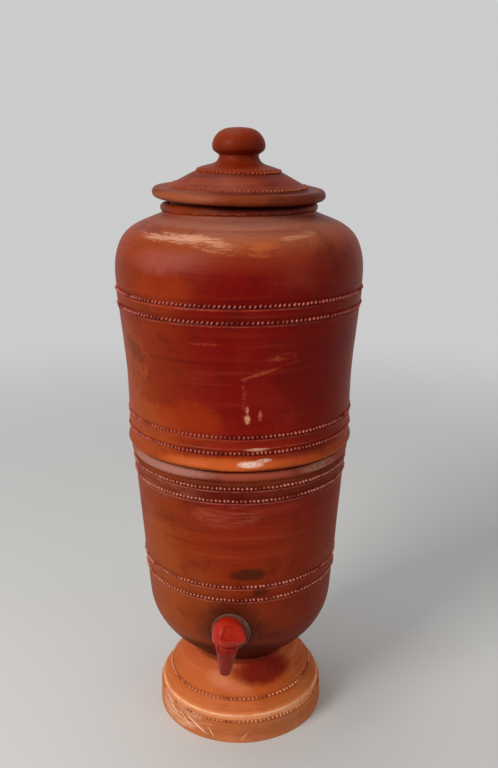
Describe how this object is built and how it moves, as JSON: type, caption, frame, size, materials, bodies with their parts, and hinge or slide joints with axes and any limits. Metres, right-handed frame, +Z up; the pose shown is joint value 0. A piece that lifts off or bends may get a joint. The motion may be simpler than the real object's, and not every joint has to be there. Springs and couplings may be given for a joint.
{
  "type": "clay water pot with tap",
  "caption": "Two-tier unglazed clay water filter pot on a ring stand, with a knobbed lid, beaded bands and a push-lever tap on the lower vessel.",
  "frame": {"origin": "centre of the stand's foot, on the surface that the pot stands on", "axes": "+Z up along the pot's axis; the tap points along -Y; +X is to the viewer's right"},
  "size_m": [0.2494, 0.288, 0.6268],
  "materials": {
    "vessel_clay": "unglazed red clay, burnished, with dust, scuffs and damp stains",
    "lid_clay": "unglazed red clay, burnished, dusty on the flange",
    "stand_clay": "unglazed red clay, paler, with chalky worn edges",
    "tap_lever_plastic": "moulded red plastic, satin",
    "tap_bonnet_plastic": "moulded red plastic, satin",
    "tap_spout_plastic": "moulded brownish red plastic, satin",
    "white_plastic": "moulded white plastic",
    "washer_rubber": "dark grey rubber with a dusty edge",
    "seal_rubber": "soft dark rubber",
    "steel": "stainless wire",
    "candle_ceramic": "porous off-white filter ceramic"
  },
  "bodies": {
    "stand": {"stand": "stand_clay"},
    "lower": {"lower_vessel": "vessel_clay", "tap_body": "tap_spout_plastic", "tap_bonnet": "tap_bonnet_plastic", "tap_spring": "steel", "tap_outer_washer": "washer_rubber", "tap_inner_washer": "washer_rubber", "tap_lock_nut": "tap_bonnet_plastic"},
    "upper": {"upper_vessel": "vessel_clay", "candle_1_shell": "candle_ceramic", "candle_1_base": "white_plastic", "candle_1_top_washer": "seal_rubber", "candle_1_bottom_washer": "seal_rubber", "candle_1_wing_nut": "white_plastic", "candle_2_shell": "candle_ceramic", "candle_2_base": "white_plastic", "candle_2_top_washer": "seal_rubber", "candle_2_bottom_washer": "seal_rubber", "candle_2_wing_nut": "white_plastic"},
    "lid": {"lid": "lid_clay"},
    "valve": {"tap_seat_cup": "seal_rubber"},
    "stem": {"tap_stem": "white_plastic", "tap_lever_pin": "steel"},
    "lever": {"tap_lever": "tap_lever_plastic"}
  },
  "joints": [
    {"name": "lower_vessel_lift", "type": "slide", "parent": "stand", "child": "lower", "axis": [0, 0, 1], "range_m": [0, 0.15]},
    {"name": "upper_vessel_lift", "type": "slide", "parent": "lower", "child": "upper", "axis": [0, 0, 1], "range_m": [0, 0.2]},
    {"name": "lid_lift", "type": "slide", "parent": "upper", "child": "lid", "axis": [0, 0, 1], "range_m": [0, 0.12]},
    {"name": "tap_valve_lift", "type": "slide", "parent": "lower", "child": "valve", "axis": [0.0785, 0, 0.9969], "range_m": [0, 0.00307], "stiffness_N_per_m": 80, "springref_m": -0.005, "deforming": ["tap_spring"]},
    {"name": "tap_swivel", "type": "hinge", "parent": "valve", "child": "stem", "pos_m": [0, -0.139, 0.14], "axis": [0.0785, 0, 0.9969], "continuous": true},
    {"name": "tap_lever_press", "type": "hinge", "parent": "stem", "child": "lever", "pos_m": [0.00165, -0.139, 0.16093], "axis": [0.9481, 0.309, -0.0746], "range_deg": [0, 22]}
  ],
  "couplings": [
    {"joint": "tap_lever_press", "follows": "tap_valve_lift", "rad_per_m": 125}
  ]
}
